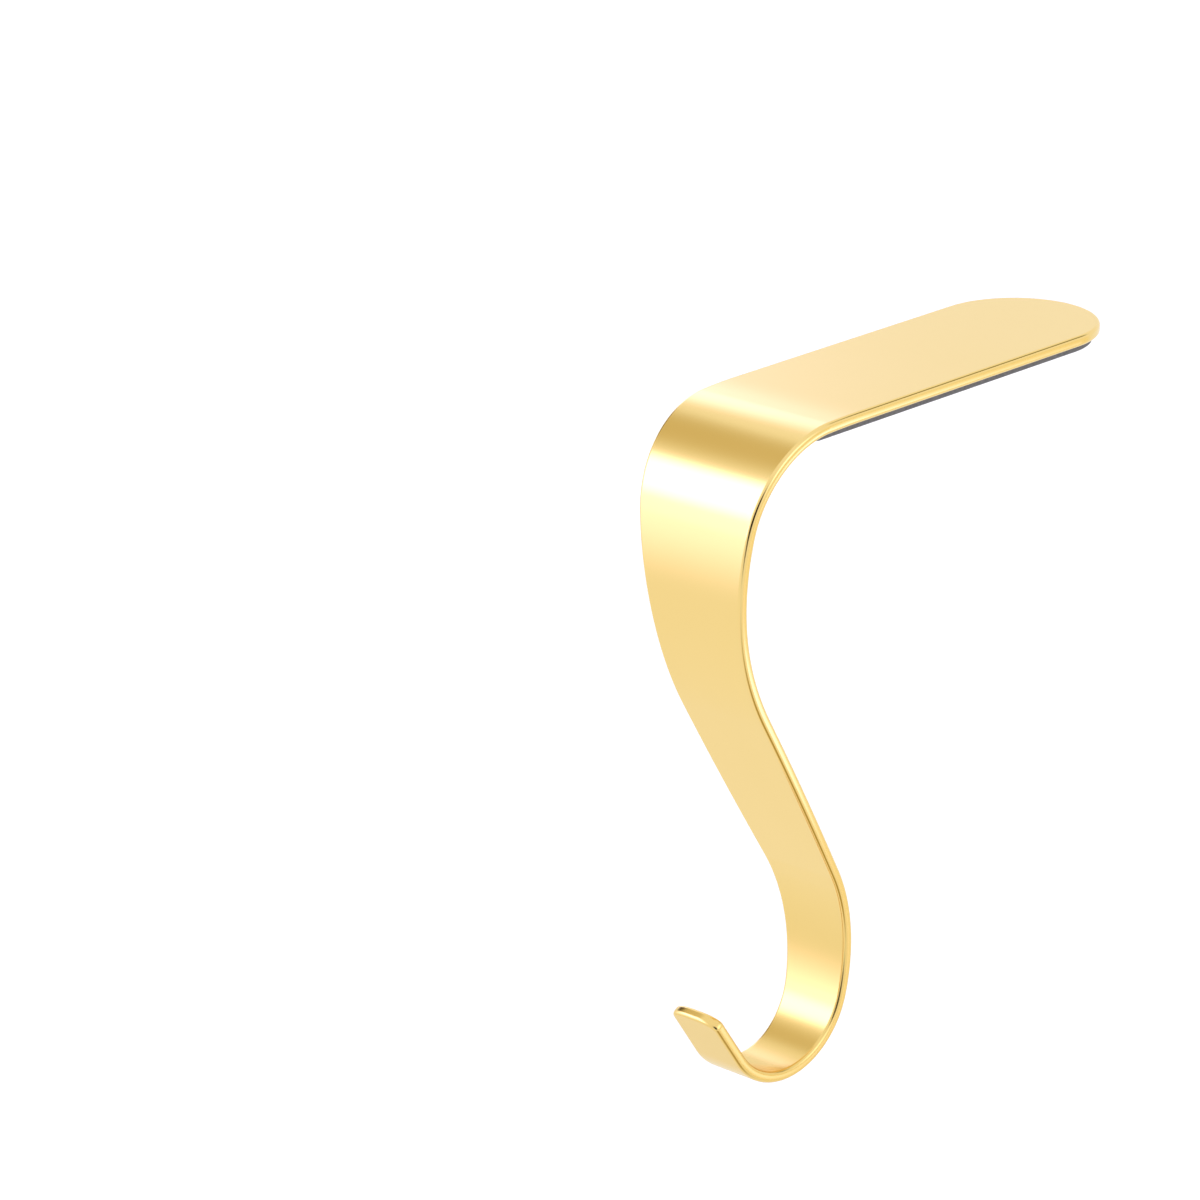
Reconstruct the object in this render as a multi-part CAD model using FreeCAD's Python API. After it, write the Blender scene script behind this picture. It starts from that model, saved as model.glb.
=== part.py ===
import FreeCAD, Part
import math
import os
from FreeCAD import Vector

# Mantel stocking holder: a tapered steel strip bent into an arm, a leg and an
# upturned hook, with an anti-slip pad glued under the arm.
# Millimetres. X runs across the strip, -Y points into the room, +Z is up.
# The origin is the middle of the pad's underside, which lies on the shelf.

# The strip in the flat
strip_thickness = 2.1
arm_width = 30.8
leg_width = 20.0
tip_width = 11.0
shoulder_taper_start_before_bend = 3.8
shoulder_taper_length = 76.0
hook_taper_start_after_bend = 60.0
edge_radius = 0.4
tip_crown_height = 0.8
tip_corner_radius = 2.8

# The strip's straights and bends, in order from the arm's round end to the
# tip. Each bend has its radius at mid thickness and its angle in degrees. The
# lead-in, the shoulder and the bow fold the strip down and back under the
# shelf, and the heel and the hook turn it the other way, up into the room.
arm_length = 75.5
lead_in_radius = 120.0
lead_in_angle = 3.5
shoulder_radius = 19.0
shoulder_angle = 78.5
bow_radius = 57.0
bow_angle = 37.5
leg_straight_length = 39.5
heel_radius = 35.5
heel_angle = 42.5
hook_radius = 14.2
hook_angle = 133.5
tip_length = 12.0

# The anti-slip pad, whose front lies thinned under the start of the bends
pad_thickness = 1.2
pad_edge_inset = 1.4
pad_reach_past_arm = 10.3
pad_front_corner_radius = 1.5

# Greatest distance along the strip between two samples of its tapered sides
taper_sample_pitch = 2.5

# How far the cutting shapes reach past what they trim
cutter_margin = 3.0


class Run:
    """One straight or one arc of the strip's centre line."""

    def __init__(self, start, heading, length, turn_degrees=0.0):
        self.start = start
        self.heading = heading
        self.length = length
        self.turn = math.radians(turn_degrees)

    def direction(self, along):
        """Direction of travel after a length along this run."""
        angle = self.heading + self.turn * along / self.length
        return Vector(0.0, math.cos(angle), math.sin(angle))

    def normal(self, along):
        """Unit normal on the side that faces up and into the room."""
        angle = self.heading + self.turn * along / self.length
        return Vector(0.0, math.sin(angle), -math.cos(angle))

    def point(self, along, offset=0.0):
        """Point on a line parallel to the centre line."""
        chord = along
        half_turn = 0.5 * self.turn * along / self.length
        if half_turn:
            chord = along * math.sin(half_turn) / half_turn
        angle = self.heading + half_turn
        step = Vector(0.0, math.cos(angle), math.sin(angle)) * chord
        return self.start + step + self.normal(along) * offset

    def edge(self, offset, before=0.0, after=0.0):
        """The run's line or arc moved sideways, or also lengthened at its ends."""
        first = self.point(-before, offset)
        last = self.point(self.length + after, offset)
        if not self.turn:
            return Part.makeLine(first, last)
        middle = self.point((self.length + after - before) / 2.0, offset)
        return Part.Arc(first, middle, last).toShape()


def bend_length(radius, angle):
    """Length of a bend along its mid thickness, from its angle in degrees."""
    return radius * math.radians(angle)


def strip_runs():
    """The centre line as tangent straights and arcs, from the arm's end to the tip."""
    straights_and_bends = [
        (arm_length, 0.0),
        (bend_length(lead_in_radius, lead_in_angle), lead_in_angle),
        (bend_length(shoulder_radius, shoulder_angle), shoulder_angle),
        (bend_length(bow_radius, bow_angle), bow_angle),
        (leg_straight_length, 0.0),
        (bend_length(heel_radius, heel_angle), -heel_angle),
        (bend_length(hook_radius, hook_angle), -hook_angle),
        (tip_length, 0.0),
    ]
    arm_height = pad_thickness + strip_thickness / 2.0
    start = Vector(0.0, pad_length() / 2.0 + pad_edge_inset, arm_height)
    heading = math.pi
    runs = []
    for length, turn in straights_and_bends:
        run = Run(start, heading, length, turn)
        runs.append(run)
        start = run.point(length)
        heading += run.turn
    return runs


def developed_length(runs):
    """Length of the strip in the flat."""
    return sum(run.length for run in runs)


def run_at(runs, along):
    """The run that holds a developed length, and how far into it that is."""
    for run in runs[:-1]:
        if along <= run.length:
            return run, along
        along -= run.length
    return runs[-1], along


def smooth_step(value):
    """Rise from 0 to 1 with no kink in slope or in curvature at either end."""
    ratio = min(max(value, 0.0), 1.0)
    return ratio ** 3 * (10.0 - 15.0 * ratio + 6.0 * ratio ** 2)


def half_width(along, strip_length):
    """Half the strip's width at a developed length from the arm's end."""
    shoulder_start = arm_length - shoulder_taper_start_before_bend
    hook_start = arm_length + hook_taper_start_after_bend
    shoulder_share = smooth_step((along - shoulder_start) / shoulder_taper_length)
    hook_share = smooth_step((along - hook_start) / (strip_length - hook_start))
    shoulder_loss = (arm_width - leg_width) * shoulder_share
    hook_loss = (leg_width - tip_width) * hook_share
    return (arm_width - shoulder_loss - hook_loss) / 2.0


def bent_blank(runs):
    """The bent strip before trimming, wider and longer than the finished one."""
    blank_width = arm_width + 2.0 * cutter_margin
    sides = []
    for offset in (strip_thickness / 2.0, -strip_thickness / 2.0):
        sides.append(runs[0].edge(offset, before=cutter_margin))
        sides.extend(run.edge(offset) for run in runs[1:-1])
        sides.append(runs[-1].edge(offset, after=cutter_margin))
    ends = []
    for run, along in ((runs[0], -cutter_margin), (runs[-1], tip_length + cutter_margin)):
        upper = run.point(along, strip_thickness / 2.0)
        lower = run.point(along, -strip_thickness / 2.0)
        ends.append(Part.makeLine(upper, lower))
    profile = Part.Face(Part.Wire(Part.__sortEdges__(sides + ends)))
    profile.translate(Vector(-blank_width / 2.0, 0.0, 0.0))
    return profile.extrude(Vector(blank_width, 0.0, 0.0))


def taper_stations(runs):
    """Developed lengths of the samples: each run's start and even steps within it."""
    overrun = 2.0 * cutter_margin
    stations = [-overrun]
    run_start = 0.0
    for run in runs:
        count = math.ceil(run.length / taper_sample_pitch)
        stations.extend(run_start + run.length * index / count for index in range(count))
        run_start += run.length
    return stations + [run_start, run_start + overrun]


def side_waste(runs, side):
    """What is trimmed off one side of the bent blank to leave its taper."""
    reach = strip_thickness / 2.0 + cutter_margin
    strip_length = developed_length(runs)
    stations = taper_stations(runs)
    rails = []
    for offset in (reach, -reach):
        points = []
        for station in stations:
            run, along = run_at(runs, station)
            point = run.point(along, offset)
            point.x = side * half_width(station, strip_length)
            points.append(point)
        rail = Part.BSplineCurve()
        rail.interpolate(Points=points, Parameters=stations)
        rails.append(rail.toShape())
    trimmed_face = Part.makeRuledSurface(rails[0], rails[1])
    return trimmed_face.extrude(Vector(side * arm_width, 0.0, 0.0))


def arm_end_waste(runs):
    """What is trimmed off the arm's end to leave it half round in plan."""
    end = runs[0].start
    radius = arm_width / 2.0
    width = arm_width + 4.0 * cutter_margin
    depth = radius + 2.0 * cutter_margin
    height = strip_thickness + 2.0 * cutter_margin
    centre = Vector(0.0, end.y - radius, end.z - height / 2.0)
    square = Part.makeBox(width, depth, height, centre - Vector(width / 2.0, 0.0, 0.0))
    return square.cut(Part.makeCylinder(radius, height, centre))


def tip_end_waste(runs):
    """What is trimmed off the tip to leave it slightly crowned."""
    tip = runs[-1]
    onward = tip.direction(tip.length)
    through = tip.normal(tip.length)
    end = tip.point(tip.length)
    reach = strip_thickness / 2.0 + cutter_margin
    half = tip_width / 2.0

    def corner(x, beyond):
        return end + Vector(x, 0.0, 0.0) + onward * beyond - through * reach

    left = corner(-half, -tip_crown_height)
    right = corner(half, -tip_crown_height)
    crown = Part.Arc(left, corner(0.0, 0.0), right).toShape()
    outer = [
        right,
        corner(arm_width, -tip_crown_height),
        corner(arm_width, 2.0 * cutter_margin),
        corner(-arm_width, 2.0 * cutter_margin),
        corner(-arm_width, -tip_crown_height),
        left,
    ]
    outline = Part.Wire(Part.__sortEdges__([crown] + Part.makePolygon(outer).Edges))
    return Part.Face(outline).extrude(through * 2.0 * reach)


def tip_corner_edges(solid, runs, tolerance=0.02):
    """The two short edges at the tip's corners, as long as the strip is thick."""
    tip = runs[-1]
    through = tip.normal(tip.length)
    end = tip.point(tip.length)
    corners = []
    for edge in solid.Edges:
        ends = [vertex.Point for vertex in edge.Vertexes]
        if len(ends) != 2:
            continue
        run_through = abs((ends[1] - ends[0]).dot(through))
        near_tip = (ends[0] - end).Length < tip_width
        if near_tip and abs(run_through - strip_thickness) < tolerance:
            corners.append(edge)
    return corners


def sharp_edges(solid, least_angle=30.0):
    """Edges where two faces meet at more than an angle in degrees."""
    sharp = []
    for edge in solid.Edges:
        faces = solid.ancestorsOfType(edge, Part.Face)
        if len(faces) != 2:
            continue
        middle = edge.valueAt((edge.FirstParameter + edge.LastParameter) / 2.0)
        normals = [face.normalAt(*face.Surface.parameter(middle)) for face in faces]
        if math.degrees(normals[0].getAngle(normals[1])) > least_angle:
            sharp.append(edge)
    return sharp


def hook_strip(runs):
    """The whole metal strip: bent, tapered, its ends shaped and its edges rounded."""
    strip = bent_blank(runs)
    for side in (-1.0, 1.0):
        strip = strip.cut(side_waste(runs, side))
    strip = strip.cut(arm_end_waste(runs))
    strip = strip.cut(tip_end_waste(runs))
    strip = strip.Solids[0]
    strip = strip.makeFillet(tip_corner_radius, tip_corner_edges(strip, runs))
    return strip.makeFillet(edge_radius, sharp_edges(strip))


def pad_length():
    """Length of the pad, from near the arm's round end to under the first bends."""
    return arm_length - pad_edge_inset + pad_reach_past_arm


def grip_pad(runs):
    """The pad, half round at the back and thinned where the strip bends over it."""
    radius = arm_width / 2.0 - pad_edge_inset
    front = -pad_length() / 2.0
    back = pad_length() / 2.0
    corner = pad_front_corner_radius
    slant = corner * math.sqrt(0.5)

    left_start = Vector(-radius, front + corner, 0.0)
    left_middle = Vector(-radius + corner - slant, front + corner - slant, 0.0)
    left_end = Vector(-radius + corner, front, 0.0)
    right_start = Vector(radius - corner, front, 0.0)
    right_middle = Vector(radius - corner + slant, front + corner - slant, 0.0)
    right_end = Vector(radius, front + corner, 0.0)
    round_start = Vector(radius, back - radius, 0.0)
    round_middle = Vector(0.0, back, 0.0)
    round_end = Vector(-radius, back - radius, 0.0)

    outline = Part.Wire([
        Part.Arc(left_start, left_middle, left_end).toShape(),
        Part.makeLine(left_end, right_start),
        Part.Arc(right_start, right_middle, right_end).toShape(),
        Part.makeLine(right_end, round_start),
        Part.Arc(round_start, round_middle, round_end).toShape(),
        Part.makeLine(round_end, left_start),
    ])
    pad = Part.Face(outline).extrude(Vector(0.0, 0.0, pad_thickness))
    return pad.cut(bent_blank(runs)).Solids[0]


def main():
    runs = strip_runs()
    parts = {
        "hook_strip": hook_strip(runs),
        "grip_pad": grip_pad(runs),
    }
    os.makedirs("parts", exist_ok=True)
    for name, shape in parts.items():
        box = shape.BoundBox
        print(
            name,
            "valid" if shape.isValid() else "NOT VALID",
            "solids %d volume %.1f" % (len(shape.Solids), shape.Volume),
            "box x %.2f..%.2f y %.2f..%.2f z %.2f..%.2f"
            % (box.XMin, box.XMax, box.YMin, box.YMax, box.ZMin, box.ZMax),
        )
        shape.exportStep("parts/%s.step" % name)


main()
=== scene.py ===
"""Mantel stocking holder: a gold plated steel strip with a grip pad under its arm.

Metres. X runs across the strip, -Y points into the room and +Z is up. The
origin is the middle of the pad's underside, which lies on the mantel shelf.
"""
import logging
import math
from collections.abc import Callable
from dataclasses import dataclass
from enum import Enum

import bmesh
import bpy
from mathutils import Matrix, Vector


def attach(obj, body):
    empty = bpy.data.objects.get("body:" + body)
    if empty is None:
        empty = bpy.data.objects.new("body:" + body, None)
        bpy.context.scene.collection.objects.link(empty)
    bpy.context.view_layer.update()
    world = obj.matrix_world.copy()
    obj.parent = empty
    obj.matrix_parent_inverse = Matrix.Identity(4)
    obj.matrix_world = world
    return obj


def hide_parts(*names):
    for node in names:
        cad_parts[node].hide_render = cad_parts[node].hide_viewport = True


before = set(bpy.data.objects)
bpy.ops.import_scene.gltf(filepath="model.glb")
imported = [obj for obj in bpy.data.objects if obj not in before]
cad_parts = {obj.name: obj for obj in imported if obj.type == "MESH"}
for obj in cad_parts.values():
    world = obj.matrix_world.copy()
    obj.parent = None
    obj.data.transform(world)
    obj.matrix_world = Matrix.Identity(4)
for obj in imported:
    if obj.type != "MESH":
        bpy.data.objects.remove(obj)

log = logging.getLogger("stocking_holder")

Colour = tuple[float, float, float]

ACROSS = Vector((1.0, 0.0, 0.0))
CLOSE_BY = 1e-5
SAME_PLACE = 1e-6
SAME_LINE = 1e-7
SAME_WIDTH = 1e-9


class StripNode(Enum):
    """Names of the modelled pieces in the frame."""

    STRIP = "hook_strip"
    PAD = "grip_pad"


class ShaderBench:
    """A material's or a world's node tree, with short ways to fill it."""

    def __init__(self, tree: bpy.types.NodeTree) -> None:
        """Empty a node tree and keep it.

        Args:
            tree: The node tree to fill.
        """
        self.tree = tree
        tree.nodes.clear()

    def add(self, kind: str, **values: object) -> bpy.types.Node:
        """Add a node and set its properties and sockets.

        Args:
            kind: The node's type name.
            **values: Properties by name, or socket values by socket name with
                its spaces written as underscores.

        Returns:
            The new node.
        """
        node = self.tree.nodes.new(kind)
        for key, value in values.items():
            if hasattr(node, key):
                setattr(node, key, value)
            else:
                node.inputs[key.replace("_", " ")].default_value = value
        return node

    def colour(self, value: Colour) -> bpy.types.NodeSocket:
        """A fixed colour, which may be brighter than white.

        Args:
            value: Red, green and blue.

        Returns:
            The colour socket.
        """
        node = self.add("ShaderNodeCombineXYZ", X=value[0], Y=value[1], Z=value[2])
        return node.outputs["Vector"]

    def join(self, source: bpy.types.NodeSocket, target: bpy.types.NodeSocket) -> None:
        """Link two sockets.

        Args:
            source: Output socket.
            target: Input socket.
        """
        self.tree.links.new(source, target)

    def ramp(
        self, source: bpy.types.NodeSocket, low: Colour, high: Colour
    ) -> bpy.types.NodeSocket:
        """Blend between two colours by a value from 0 to 1.

        Args:
            source: The value.
            low: Colour at 0.
            high: Colour at 1.

        Returns:
            The colour socket.
        """
        node = self.add("ShaderNodeValToRGB")
        node.color_ramp.elements[0].color = (*low, 1.0)
        node.color_ramp.elements[1].color = (*high, 1.0)
        self.join(source, node.inputs["Fac"])
        return node.outputs["Color"]

    def above(
        self, place: bpy.types.NodeSocket, foot: float, top: float
    ) -> bpy.types.NodeSocket:
        """Share of the way up between two heights.

        Args:
            place: Position socket.
            foot: Height where the share is 0.
            top: Height where the share is 1.

        Returns:
            The share's socket.
        """
        split = self.add("ShaderNodeSeparateXYZ")
        self.join(place, split.inputs["Vector"])
        return self.rise(split.outputs["Z"], foot, top)

    def rise(
        self, source: bpy.types.NodeSocket, start: float, end: float
    ) -> bpy.types.NodeSocket:
        """Smooth rise from 0 to 1 while a value goes from one bound to another.

        Args:
            source: The value.
            start: Bound where the result is 0.
            end: Bound where the result is 1.

        Returns:
            The value socket.
        """
        node = self.add(
            "ShaderNodeMapRange", interpolation_type="SMOOTHSTEP", From_Min=start, From_Max=end
        )
        self.join(source, node.inputs["Value"])
        return node.outputs["Result"]

    def blend(
        self,
        share: bpy.types.NodeSocket,
        low: bpy.types.NodeSocket,
        high: bpy.types.NodeSocket,
        data_type: str = "RGBA",
    ) -> bpy.types.NodeSocket:
        """Mix two colours or two values.

        Args:
            share: Factor from 0 to 1.
            low: Result at 0.
            high: Result at 1.
            data_type: RGBA or FLOAT.

        Returns:
            The mixed socket.
        """
        node = self.add("ShaderNodeMix", data_type=data_type)
        sockets = [socket for socket in node.inputs if socket.enabled]
        self.join(share, sockets[0])
        self.join(low, sockets[1])
        self.join(high, sockets[2])
        return [socket for socket in node.outputs if socket.enabled][0]

    def remap(
        self, source: bpy.types.NodeSocket, low: float, high: float
    ) -> bpy.types.NodeSocket:
        """Spread a value from 0..1 to low..high.

        Args:
            source: The value.
            low: Result at 0.
            high: Result at 1.

        Returns:
            The value socket.
        """
        node = self.add("ShaderNodeMapRange", To_Min=low, To_Max=high)
        self.join(source, node.inputs["Value"])
        return node.outputs["Result"]


@dataclass(frozen=True)
class GoldPlating:
    """Warm gold plating over polished steel, rougher in the hook, where its colours are
    darkened and warmed with painted shade.
    """

    name: str = "gold_plating"
    pale: Colour = (0.93, 0.69, 0.278)
    deep: Colour = (0.91, 0.67, 0.253)
    # Painted shade: the hook's colours are darker and warmer than the arm's, standing in for
    # the shaded floor that the hook reflects.
    shaded_hook_pale: Colour = (0.89, 0.645, 0.232)
    shaded_hook_deep: Colour = (0.87, 0.62, 0.212)
    hook_foot: float = -0.112
    hook_top: float = -0.085
    cloud_scale: float = 38.0
    cloud_detail: float = 3.0
    smoothest: float = 0.13
    dullest: float = 0.17
    hook_smoothest: float = 0.22
    hook_dullest: float = 0.26
    grain_scale: float = 5200.0
    grain_detail: float = 2.0
    grain_height: float = 0.0000012
    grain_strength: float = 0.2

    def material(self) -> bpy.types.Material:
        """Build the plating.

        Returns:
            The material.
        """
        material = bpy.data.materials.new(self.name)
        material.use_nodes = True
        bench = ShaderBench(material.node_tree)
        place = bench.add("ShaderNodeTexCoord")
        shader = bench.add("ShaderNodeBsdfPrincipled", Metallic=1.0)
        clouds = bench.add(
            "ShaderNodeTexNoise", Scale=self.cloud_scale, Detail=self.cloud_detail
        )
        grain = bench.add(
            "ShaderNodeTexNoise", Scale=self.grain_scale, Detail=self.grain_detail
        )
        bump = bench.add(
            "ShaderNodeBump", Strength=self.grain_strength, Distance=self.grain_height
        )
        output = bench.add("ShaderNodeOutputMaterial")
        bench.join(place.outputs["Object"], clouds.inputs["Vector"])
        bench.join(place.outputs["Object"], grain.inputs["Vector"])
        cloud = clouds.outputs["Fac"]
        share = bench.above(place.outputs["Object"], self.hook_foot, self.hook_top)
        arm_colour = bench.ramp(cloud, self.deep, self.pale)
        # Painted shade: below hook_top the plating blends into the darker, warmer hook
        # colours; the same share also raises the roughness there.
        shaded_hook_colour = bench.ramp(cloud, self.shaded_hook_deep, self.shaded_hook_pale)
        colour = bench.blend(share, shaded_hook_colour, arm_colour)
        arm_polish = bench.remap(cloud, self.dullest, self.smoothest)
        hook_polish = bench.remap(cloud, self.hook_dullest, self.hook_smoothest)
        polish = bench.blend(share, hook_polish, arm_polish, "FLOAT")
        bench.join(colour, shader.inputs["Base Color"])
        bench.join(polish, shader.inputs["Roughness"])
        bench.join(grain.outputs["Fac"], bump.inputs["Height"])
        bench.join(bump.outputs["Normal"], shader.inputs["Normal"])
        bench.join(shader.outputs["BSDF"], output.inputs["Surface"])
        return material


@dataclass(frozen=True)
class GripRubber:
    """Matt grey anti-slip rubber with fine closed cells."""

    name: str = "grip_rubber"
    pale: Colour = (0.20, 0.20, 0.20)
    deep: Colour = (0.13, 0.13, 0.132)
    roughness: float = 0.85
    cell_scale: float = 1400.0
    cell_depth: float = 0.00006
    cell_strength: float = 0.6

    def material(self) -> bpy.types.Material:
        """Build the rubber.

        Returns:
            The material.
        """
        material = bpy.data.materials.new(self.name)
        material.use_nodes = True
        bench = ShaderBench(material.node_tree)
        place = bench.add("ShaderNodeTexCoord")
        shader = bench.add("ShaderNodeBsdfPrincipled", Roughness=self.roughness)
        cells = bench.add("ShaderNodeTexVoronoi", Scale=self.cell_scale)
        bump = bench.add(
            "ShaderNodeBump", Strength=self.cell_strength, Distance=self.cell_depth
        )
        output = bench.add("ShaderNodeOutputMaterial")
        bench.join(place.outputs["Object"], cells.inputs["Vector"])
        colour = bench.ramp(cells.outputs["Distance"], self.deep, self.pale)
        bench.join(colour, shader.inputs["Base Color"])
        bench.join(cells.outputs["Distance"], bump.inputs["Height"])
        bench.join(bump.outputs["Normal"], shader.inputs["Normal"])
        bench.join(shader.outputs["BSDF"], output.inputs["Surface"])
        return material


@dataclass(frozen=True)
class Bend:
    """One bend of the strip, by its radius at mid thickness and its angle.

    A positive angle folds the strip down and back, a negative one up again.
    """

    radius: float
    angle: float


@dataclass(frozen=True)
class StripSize:
    """Sizes of the flat strip, its bends, its rounding and its mesh.

    Lengths are in metres and run at mid thickness, angles are in degrees.
    """

    thickness: float = 0.0021
    arm_width: float = 0.0308
    leg_width: float = 0.020
    tip_width: float = 0.011
    shoulder_taper_before_bend: float = 0.0038
    shoulder_taper_length: float = 0.076
    hook_taper_after_bend: float = 0.060
    arm_back: float = 0.0436
    arm_height: float = 0.00225
    arm_length: float = 0.0755
    lead_in: Bend = Bend(0.120, 3.5)
    shoulder: Bend = Bend(0.019, 78.5)
    bow: Bend = Bend(0.057, 37.5)
    leg_length: float = 0.0395
    heel: Bend = Bend(0.0355, -42.5)
    hook: Bend = Bend(0.0142, -133.5)
    tip_length: float = 0.0121
    tip_crown: float = 0.0021
    tip_squareness: float = 2.8
    edge_radius: float = 0.0007
    sharp_angle: float = 50.0
    round_steps: int = 96
    arm_steps: int = 1
    lead_steps: int = 2
    bend_step: float = 1.5
    leg_steps: int = 10
    tip_steps: int = 4
    crown_steps: int = 10
    edge_steps: int = 5
    normal_weight: int = 100

    def developed_length(self) -> float:
        """Length of the strip in the flat.

        Returns:
            The length from the arm's end to the tip.
        """
        bends = (self.lead_in, self.shoulder, self.bow, self.heel, self.hook)
        bent = sum(bend.radius * math.radians(abs(bend.angle)) for bend in bends)
        return self.arm_length + bent + self.leg_length + self.tip_length

    def width_at(self, along: float) -> float:
        """Width of the strip at a developed length from the arm's end.

        Args:
            along: The developed length.

        Returns:
            The width before the tip is rounded.
        """
        first = self.arm_length - self.shoulder_taper_before_bend
        second = self.arm_length + self.hook_taper_after_bend
        hook_length = self.developed_length() - second
        shoulder_share = smooth_step((along - first) / self.shoulder_taper_length)
        hook_share = smooth_step((along - second) / hook_length)
        shoulder_loss = (self.arm_width - self.leg_width) * shoulder_share
        return self.arm_width - shoulder_loss - (self.leg_width - self.tip_width) * hook_share


def smooth_step(value: float) -> float:
    """Rise from 0 to 1 with no kink in slope or curvature at either end.

    Args:
        value: Position, 0 at the start of the rise and 1 at its end.

    Returns:
        The height of the rise.
    """
    ratio = min(max(value, 0.0), 1.0)
    return ratio**3 * (10.0 - 15.0 * ratio + 6.0 * ratio**2)


class HookStrip:
    """The bent and tapered steel strip, drawn out ring by ring from the arm's end."""

    def __init__(self, size: StripSize) -> None:
        """Start at the arm's end.

        Args:
            size: The strip's sizes.
        """
        self.size = size
        self.place = Vector((0.0, size.arm_back, size.arm_height))
        self.heading = math.pi
        self.along = 0.0
        self.width = size.arm_width

    def build(self, material: bpy.types.Material) -> bpy.types.Object:
        """Model the strip and fasten it to the frame.

        Args:
            material: The strip's finish.

        Returns:
            The strip.
        """
        size = self.size
        strip = self.cut_round_end()
        plain = size.arm_length - size.shoulder_taper_before_bend - size.arm_width / 2.0
        self.advance(plain, size.arm_steps)
        self.advance(size.shoulder_taper_before_bend, size.lead_steps)
        for bend in (size.lead_in, size.shoulder, size.bow):
            self.turn(bend)
        self.advance(size.leg_length, size.leg_steps)
        for bend in (size.heel, size.hook):
            self.turn(bend)
        self.advance(size.tip_length - size.tip_crown, size.tip_steps)
        self.crown_tip(strip)
        bpy.ops.object.mode_set(mode="OBJECT")
        self.thicken(strip)
        strip.data.materials.append(material)
        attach(strip, "root")
        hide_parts(StripNode.STRIP.value)
        log.info("strip has %d faces", len(strip.data.polygons))
        return strip

    def cut_round_end(self) -> bpy.types.Object:
        """Make the arm's half round end, with its straight side selected.

        Returns:
            The new object, left in edit mode.
        """
        radius = self.size.arm_width / 2.0
        self.step_on(radius)
        bpy.ops.object.select_all(action="DESELECT")
        bpy.ops.mesh.primitive_circle_add(
            vertices=self.size.round_steps,
            radius=radius,
            fill_type="NGON",
            location=self.place,
        )
        strip = bpy.context.object
        strip.name = "bent_strip"
        strip.data.name = "bent_strip"
        bpy.ops.object.transform_apply(location=True, rotation=False, scale=False)
        bpy.ops.object.mode_set(mode="EDIT")
        bpy.ops.mesh.select_mode(type="EDGE")
        bpy.ops.mesh.select_all(action="SELECT")
        bpy.ops.mesh.bisect(plane_co=self.place, plane_no=(0.0, 1.0, 0.0), clear_inner=True)
        side = self.place.y
        pick_edges(strip, lambda a, b: max(abs(a.y - side), abs(b.y - side)) < SAME_PLACE)
        return strip

    def onward(self) -> Vector:
        """Direction in which the strip's free end points.

        Returns:
            The unit vector.
        """
        return Vector((0.0, math.cos(self.heading), math.sin(self.heading)))

    def step_on(self, length: float) -> Vector:
        """Move the free end's place straight on without drawing.

        Args:
            length: How far.

        Returns:
            The move.
        """
        before = self.place.copy()
        self.place += self.onward() * length
        self.along += length
        return self.place - before

    def advance(self, length: float, steps: int) -> None:
        """Extrude the strip's free end straight on.

        Args:
            length: How far.
            steps: Number of equal steps.
        """
        for _ in range(steps):
            move = self.step_on(length / steps)
            bpy.ops.mesh.extrude_region_move(TRANSFORM_OT_translate={"value": move})
            self.narrow(self.size.width_at(self.along))

    def turn(self, bend: Bend) -> None:
        """Spin the strip's free end round a bend.

        Args:
            bend: The bend.
        """
        steps = math.ceil(abs(bend.angle) / self.size.bend_step)
        turn = math.radians(bend.angle) / steps
        side = math.copysign(1.0, turn)
        for _ in range(steps):
            inward = Vector((0.0, -math.sin(self.heading), math.cos(self.heading))) * side
            centre = self.place + inward * bend.radius
            # The spin operator turns the other way round than a rotation matrix.
            bpy.ops.mesh.spin(steps=1, angle=-turn, center=centre, axis=ACROSS)
            self.place = centre + Matrix.Rotation(turn, 3, "X") @ (self.place - centre)
            self.heading += turn
            self.along += bend.radius * abs(turn)
            self.narrow(self.size.width_at(self.along))

    def narrow(self, width: float) -> None:
        """Scale the strip's free end across to a new width.

        Args:
            width: The new width.
        """
        if abs(width - self.width) > SAME_WIDTH:
            stretch = (width / self.width, 1.0, 1.0)
            bpy.ops.transform.resize(value=stretch, center_override=self.place)
            self.width = width

    def crown_tip(self, strip: bpy.types.Object) -> None:
        """Round the tip off, squarer than an ellipse, as one flat face.

        The rings' inner edges are dissolved, because they lie almost along
        the rim near its crest and would drag the rim's rounding with them.
        Two rings at the heel's start lie level with the crown and go too.

        Args:
            strip: The sheet at mid thickness.
        """
        size = self.size
        full_width = self.width
        root = self.place.copy()
        start = self.along
        for step in range(1, size.crown_steps):
            angle = math.radians(90.0 * step / size.crown_steps)
            move = self.step_on(start + size.tip_crown * math.sin(angle) - self.along)
            bpy.ops.mesh.extrude_region_move(TRANSFORM_OT_translate={"value": move})
            self.narrow(full_width * math.cos(angle) ** (2.0 / size.tip_squareness))
        crest = self.along - start

        def is_inner_ring(a: Vector, b: Vector) -> bool:
            """Whether an edge lies across the sheet, level with the crown."""
            level = (a - root).dot(self.onward())
            runs_across = (a - b).cross(ACROSS).length < SAME_LINE
            return runs_across and CLOSE_BY < level < crest - CLOSE_BY

        pick_edges(strip, is_inner_ring)
        bpy.ops.mesh.dissolve_edges(use_verts=False)

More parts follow.
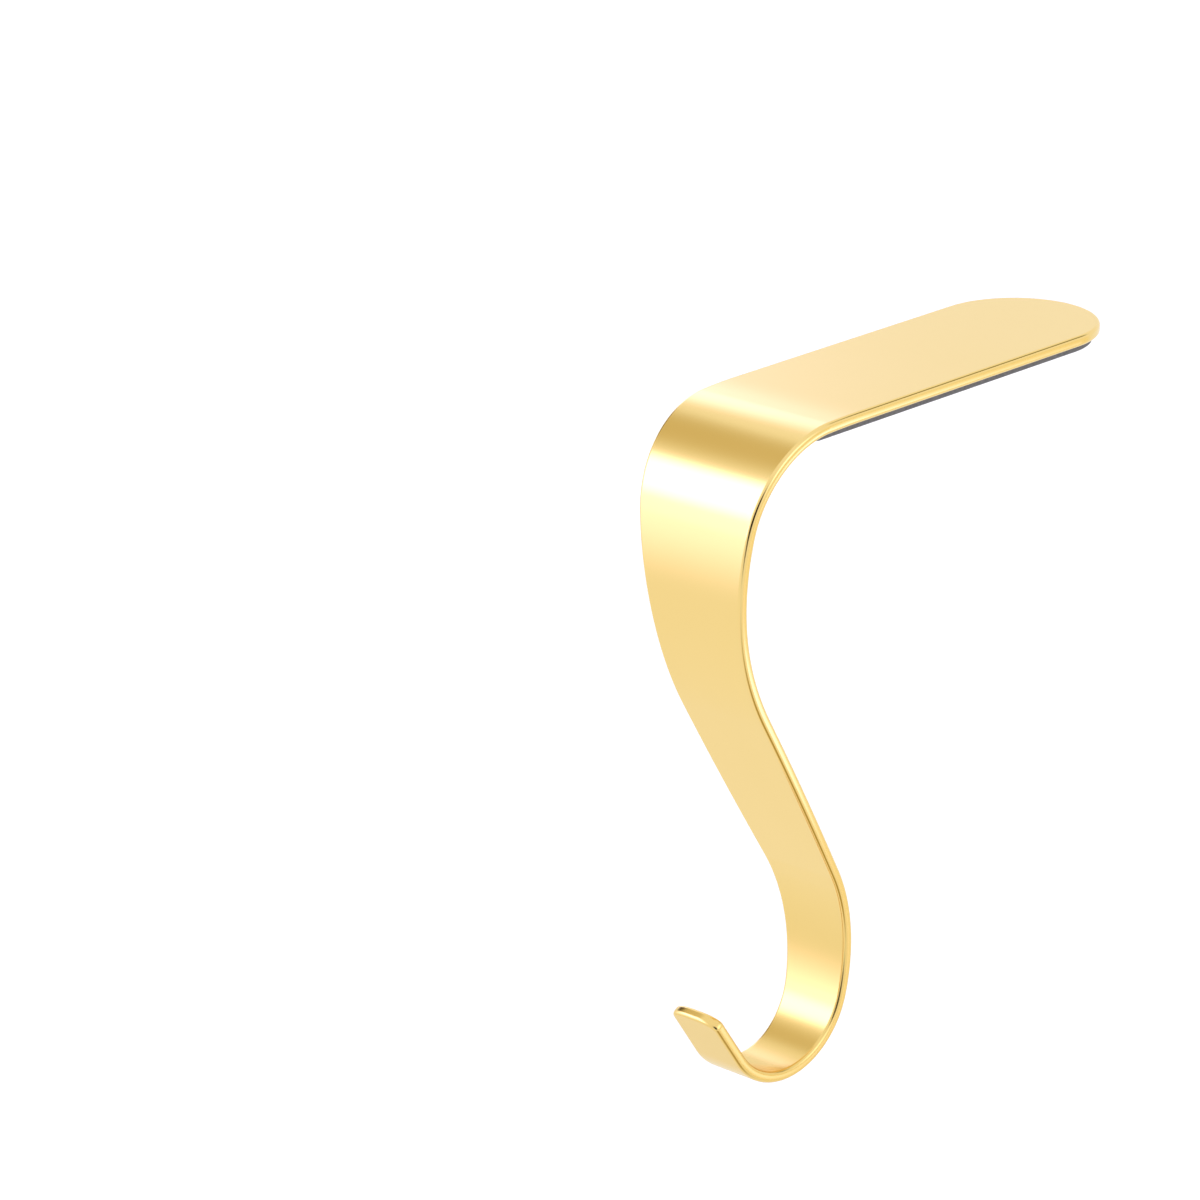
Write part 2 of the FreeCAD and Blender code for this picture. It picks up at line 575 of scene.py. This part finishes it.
    def thicken(self, strip: bpy.types.Object) -> None:
        """Give the sheet its thickness, its rounded edges and its shading.

        Args:
            strip: The sheet at mid thickness.
        """
        plate = strip.modifiers.new("plate", "SOLIDIFY")
        plate.thickness = self.size.thickness
        plate.offset = 0.0
        plate.use_even_offset = True
        tumbled = strip.modifiers.new("tumbled", "BEVEL")
        tumbled.width = self.size.edge_radius
        tumbled.segments = self.size.edge_steps
        tumbled.limit_method = "ANGLE"
        tumbled.angle_limit = math.radians(self.size.sharp_angle)
        tumbled.use_clamp_overlap = False
        for name in ("plate", "tumbled"):
            bpy.ops.object.modifier_apply(modifier=name)
        bpy.ops.object.mode_set(mode="EDIT")
        bpy.ops.mesh.select_all(action="SELECT")
        bpy.ops.mesh.normals_make_consistent(inside=False)
        bpy.ops.object.mode_set(mode="OBJECT")
        bpy.ops.object.shade_smooth()
        even = strip.modifiers.new("even", "WEIGHTED_NORMAL")
        even.weight = self.size.normal_weight
        bpy.ops.object.modifier_apply(modifier="even")


def pick_edges(piece: bpy.types.Object, test: Callable[[Vector, Vector], bool]) -> None:
    """Select only the edges that pass a test, in edit mode.

    Args:
        piece: The object being edited.
        test: Takes an edge's two ends.
    """
    bpy.ops.mesh.select_all(action="DESELECT")
    mesh = bmesh.from_edit_mesh(piece.data)
    for edge in mesh.edges:
        if test(edge.verts[0].co, edge.verts[1].co):
            edge.select_set(True)
    bmesh.update_edit_mesh(piece.data)


class GripPad:
    """The pad under the arm, whose solid has the right shape as it stands."""

    def build(self, material: bpy.types.Material) -> bpy.types.Object:
        """Give the pad its finish.

        Args:
            material: The pad's finish.

        Returns:
            The pad.
        """
        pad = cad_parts[StripNode.PAD.value]
        for slot in pad.material_slots:
            slot.material = material
        log.info("dressed %s", pad.name)
        return pad


def heading(azimuth: float, elevation: float) -> Vector:
    """Unit vector towards a compass point of the studio.

    Args:
        azimuth: Degrees from -Y towards +X.
        elevation: Degrees above the horizon.

    Returns:
        The direction.
    """
    turn = math.radians(azimuth)
    lift = math.radians(elevation)
    level = math.cos(lift)
    return Vector((math.sin(turn) * level, -math.cos(turn) * level, math.sin(lift)))


@dataclass(frozen=True)
class Glow:
    """A soft patch of the studio's walls, brighter or darker than the rest.

    Its level is full up to the inner angle from its middle, and fades into
    the walls up to the outer angle, both in degrees.
    """

    azimuth: float
    elevation: float
    inner: float
    outer: float
    level: Colour


@dataclass
class Studio:
    """White cove, pale floor and soft light round the holder."""

    floor_height: float = -0.25
    floor_size: float = 12.0
    floor_white: Colour = (0.95, 0.95, 0.95)
    floor_lift: float = 0.11
    walls: Colour = (1.0, 1.0, 1.0)
    backdrop: Colour = (1.0, 1.0, 1.0)
    back_low: Glow = Glow(-142.0, -3.0, 6.0, 20.0, (0.97, 0.95, 0.75))
    back_glow: Glow = Glow(-119.5, 23.0, 5.5, 20.0, (1.9, 1.9, 3.0))
    ceiling_gap: Glow = Glow(-83.0, 44.0, 0.5, 21.0, (0.7, 0.61, 0.4))
    gap_core: Glow = Glow(-100.0, 29.0, 7.0, 17.0, (0.05, 0.03, 0.0))
    hook_light: Glow = Glow(-28.0, 2.0, 3.0, 12.0, (4.5, 4.5, 7.0))
    softbox: Glow = Glow(-49.0, 9.0, 3.0, 34.0, (1.7, 1.6, 2.25))
    softbox_core: Glow = Glow(-44.5, 24.0, 1.0, 19.0, (3.0, 3.0, 4.3))
    side_window: Glow = Glow(100.0, 12.0, 6.0, 24.0, (1.8, 1.8, 2.1))
    dark_front: Glow = Glow(46.0, -1.0, 17.0, 30.0, (0.01, 0.0, 0.0))
    dark_foot: Glow = Glow(75.0, -58.0, 8.0, 28.0, (0.5, 0.38, 0.12))
    dark_beam: Glow = Glow(157.0, 36.0, 4.0, 14.0, (0.25, 0.22, 0.04))
    warm_back: Glow = Glow(139.0, -20.0, 10.0, 28.0, (1.0, 0.93, 0.7))
    side_gleam: Glow = Glow(137.0, -22.0, 1.0, 7.0, (1.8, 1.8, 2.6))

    def build(self) -> None:
        """Set up the floor and the surrounding light."""
        self.lay_floor()
        self.light_walls()

    def lay_floor(self) -> None:
        """Lay a pale floor below the holder, which polished metal looks past."""
        place = (0.0, 0.0, self.floor_height)
        bpy.ops.object.select_all(action="DESELECT")
        bpy.ops.mesh.primitive_plane_add(size=self.floor_size, location=place)
        floor = bpy.context.object
        floor.name = "floor"
        material = bpy.data.materials.new("floor_white")
        material.use_nodes = True
        bench = ShaderBench(material.node_tree)
        path = bench.add("ShaderNodeLightPath")
        paint = bench.add("ShaderNodeBsdfDiffuse", Color=(*self.floor_white, 1.0))
        lift = bench.add("ShaderNodeEmission")
        lifted = bench.add("ShaderNodeAddShader")
        clear = bench.add("ShaderNodeBsdfTransparent")
        mirrored = bench.add("ShaderNodeMath", operation="MAXIMUM")
        mix = bench.add("ShaderNodeMixShader")
        output = bench.add("ShaderNodeOutputMaterial")
        seen = bench.remap(path.outputs["Is Camera Ray"], 0.0, self.floor_lift)
        bench.join(seen, lift.inputs["Strength"])
        bench.join(paint.outputs["BSDF"], lifted.inputs[0])
        bench.join(lift.outputs["Emission"], lifted.inputs[1])
        bench.join(path.outputs["Is Glossy Ray"], mirrored.inputs[0])
        bench.join(path.outputs["Is Transmission Ray"], mirrored.inputs[1])
        bench.join(mirrored.outputs["Value"], mix.inputs["Fac"])
        bench.join(lifted.outputs["Shader"], mix.inputs[1])
        bench.join(clear.outputs["BSDF"], mix.inputs[2])
        bench.join(mix.outputs["Shader"], output.inputs["Surface"])
        floor.data.materials.append(material)

    def light_walls(self) -> None:
        """Light the holder from all round, with soft bright and dark patches."""
        world = bpy.data.worlds.new("studio")
        bpy.context.scene.world = world
        world.use_nodes = True
        bench = ShaderBench(world.node_tree)
        place = bench.add("ShaderNodeTexCoord")
        background = bench.add("ShaderNodeBackground")
        plain = bench.add("ShaderNodeBackground", Color=(*self.backdrop, 1.0))
        path = bench.add("ShaderNodeLightPath")
        mix = bench.add("ShaderNodeMixShader")
        output = bench.add("ShaderNodeOutputWorld")
        light = bench.colour(self.walls)
        glows = (
            self.back_low,
            self.back_glow,
            self.ceiling_gap,
            self.gap_core,
            self.hook_light,
            self.softbox,
            self.softbox_core,
            self.side_window,
            self.dark_front,
            self.dark_foot,
            self.dark_beam,
            self.warm_back,
            self.side_gleam,
        )
        for glow in glows:
            patch = bench.add("ShaderNodeVectorMath", operation="DOT_PRODUCT")
            patch.inputs[1].default_value = heading(glow.azimuth, glow.elevation)
            bench.join(place.outputs["Generated"], patch.inputs[0])
            rim = math.cos(math.radians(glow.outer))
            core = math.cos(math.radians(glow.inner))
            share = bench.rise(patch.outputs["Value"], rim, core)
            light = bench.blend(share, light, bench.colour(glow.level))
        bench.join(light, background.inputs["Color"])
        bench.join(path.outputs["Is Camera Ray"], mix.inputs["Fac"])
        bench.join(background.outputs["Background"], mix.inputs[1])
        bench.join(plain.outputs["Background"], mix.inputs[2])
        bench.join(mix.outputs["Shader"], output.inputs["Surface"])


@dataclass
class Viewpoint:
    """The camera, given by where it stands and how its lens is turned."""

    aim: Vector = Vector((0.0, -0.00751, -0.0592))
    distance: float = 0.905
    azimuth: float = 40.87
    elevation: float = 20.58
    lens_azimuth: float = 44.342
    lens_elevation: float = 19.463
    roll: float = -1.129
    focal_length: float = 149.86
    sensor_width: float = 36.0
    far_clip: float = 100.0

    def build(self) -> None:
        """Place the camera and make it the scene's."""
        camera_data = bpy.data.cameras.new("camera")
        camera_data.lens = self.focal_length
        camera_data.sensor_width = self.sensor_width
        camera_data.sensor_fit = "HORIZONTAL"
        camera_data.clip_end = self.far_clip
        camera = bpy.data.objects.new("camera", camera_data)
        bpy.context.scene.collection.objects.link(camera)
        back = heading(self.lens_azimuth, self.lens_elevation)
        level_right = Vector((-back.y, back.x, 0.0)).normalized()
        level_up = back.cross(level_right)
        tilt = math.radians(self.roll)
        right = level_right * math.cos(tilt) + level_up * math.sin(tilt)
        up = level_up * math.cos(tilt) - level_right * math.sin(tilt)
        place = self.aim + heading(self.azimuth, self.elevation) * self.distance
        turned = Matrix((right, up, back)).transposed().to_4x4()
        camera.matrix_world = Matrix.Translation(place) @ turned
        bpy.context.scene.camera = camera


def main() -> None:
    """Build the pieces, the studio and the camera."""
    logging.basicConfig(level=logging.INFO)
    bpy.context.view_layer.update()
    HookStrip(StripSize()).build(GoldPlating().material())
    GripPad().build(GripRubber().material())
    Studio().build()
    Viewpoint().build()
    bpy.context.scene.view_settings.view_transform = "Standard"


if __name__ == "__main__":
    main()
